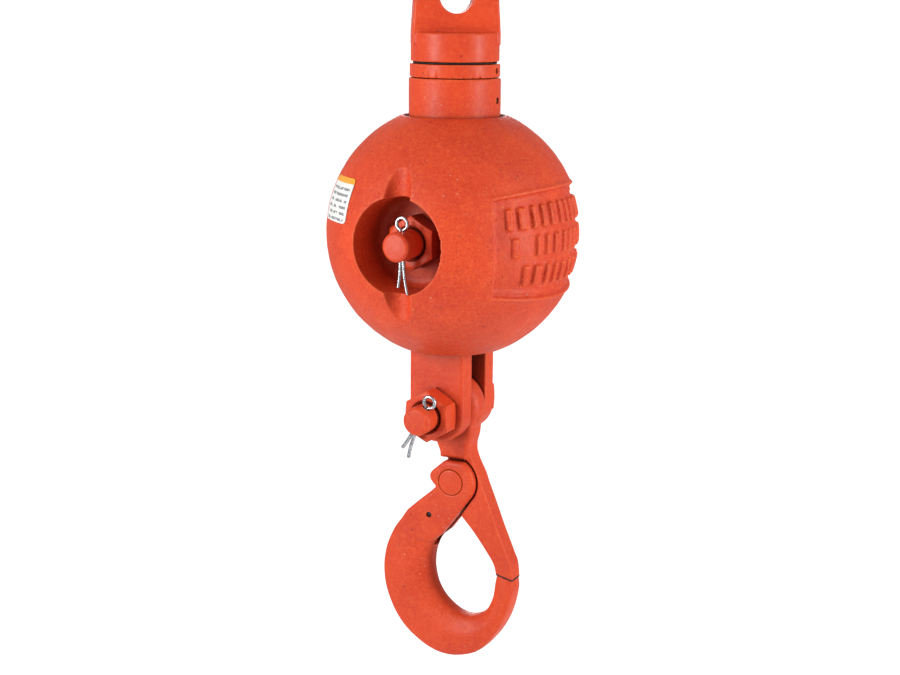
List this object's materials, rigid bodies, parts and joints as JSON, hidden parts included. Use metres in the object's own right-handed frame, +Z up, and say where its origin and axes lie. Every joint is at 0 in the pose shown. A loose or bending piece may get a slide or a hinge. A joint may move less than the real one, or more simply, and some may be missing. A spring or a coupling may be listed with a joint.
{
  "type": "crane hook block",
  "caption": "Overhaul ball on a forged jaw body with a ball-bearing swivel eye on top and a self-locking eye hook bolted in the fork below.",
  "frame": {"origin": "under the swivel axis, at the height of the hook's lowest point", "axes": "+Z up along the swivel axis, Y along both bolts with the nuts on the -Y side, the hook flat in the XZ plane with its latch arm on the +X side"},
  "size_m": [0.2485, 0.2391, 0.7205],
  "materials": {
    "paint_casting": "satin",
    "paint_forging": "satin",
    "paint_turned": "satin",
    "zinc_wire": "gloss",
    "steel": "satin",
    "bearing_steel": "polished",
    "cage_brass": "satin",
    "seal_rubber": "matte",
    "black_oxide": "satin",
    "label_vinyl": "satin"
  },
  "bodies": {
    "eye": {"top_eye": "paint_turned", "dust_seal": "seal_rubber", "bearing_lower_race": "bearing_steel", "shank_nut": "steel", "shank_nut_pin": "steel"},
    "block": {"jaw_body": "paint_forging", "swivel_cap": "paint_turned", "cap_set_screw": "black_oxide", "grease_fitting": "cage_brass", "bearing_upper_race": "bearing_steel", "overhaul_ball": "paint_casting", "ball_label": "label_vinyl", "ball_bolt": "paint_turned", "ball_nut": "paint_turned", "ball_cotter": "zinc_wire", "hook_bolt": "paint_turned", "hook_nut": "paint_turned", "hook_cotter": "zinc_wire"},
    "cage": {"bearing_cage": "cage_brass", "bearing_ball_01": "bearing_steel", "bearing_ball_02": "bearing_steel", "bearing_ball_03": "bearing_steel", "bearing_ball_04": "bearing_steel", "bearing_ball_05": "bearing_steel", "bearing_ball_06": "bearing_steel", "bearing_ball_07": "bearing_steel", "bearing_ball_08": "bearing_steel", "bearing_ball_09": "bearing_steel", "bearing_ball_10": "bearing_steel"},
    "hook": {"hook_body": "paint_forging"},
    "bowl": {"hook_bowl": "paint_forging", "hook_pivot_pin": "paint_turned", "trigger_pin": "black_oxide", "trigger_spring": "steel"},
    "trigger": {"trigger": "paint_turned"}
  },
  "joints": [
    {"name": "swivel", "type": "hinge", "parent": "eye", "child": "block", "pos_m": [0, 0, 0.577], "axis": [0, 0, 1], "continuous": true},
    {"name": "cage_spin", "type": "hinge", "parent": "eye", "child": "cage", "pos_m": [0, 0, 0.577], "axis": [0, 0, 1], "continuous": true},
    {"name": "hook_swing", "type": "hinge", "parent": "block", "child": "hook", "pos_m": [0, 0, 0.2705], "axis": [0, 1, 0], "range_deg": [-60, 60]},
    {"name": "bowl_open", "type": "hinge", "parent": "hook", "child": "bowl", "pos_m": [0.0075, 0, 0.1925], "axis": [0, 1, 0], "range_deg": [0, 45]},
    {"name": "trigger_press", "type": "hinge", "parent": "bowl", "child": "trigger", "pos_m": [-0.0172, 0, 0.1539], "axis": [0, -1, 0], "range_deg": [0, 11.25], "deforming": ["trigger_spring"]}
  ],
  "couplings": [
    {"joint": "cage_spin", "follows": "swivel", "ratio": 0.5},
    {"joint": "trigger_press", "follows": "bowl_open", "ratio": 0.25}
  ]
}
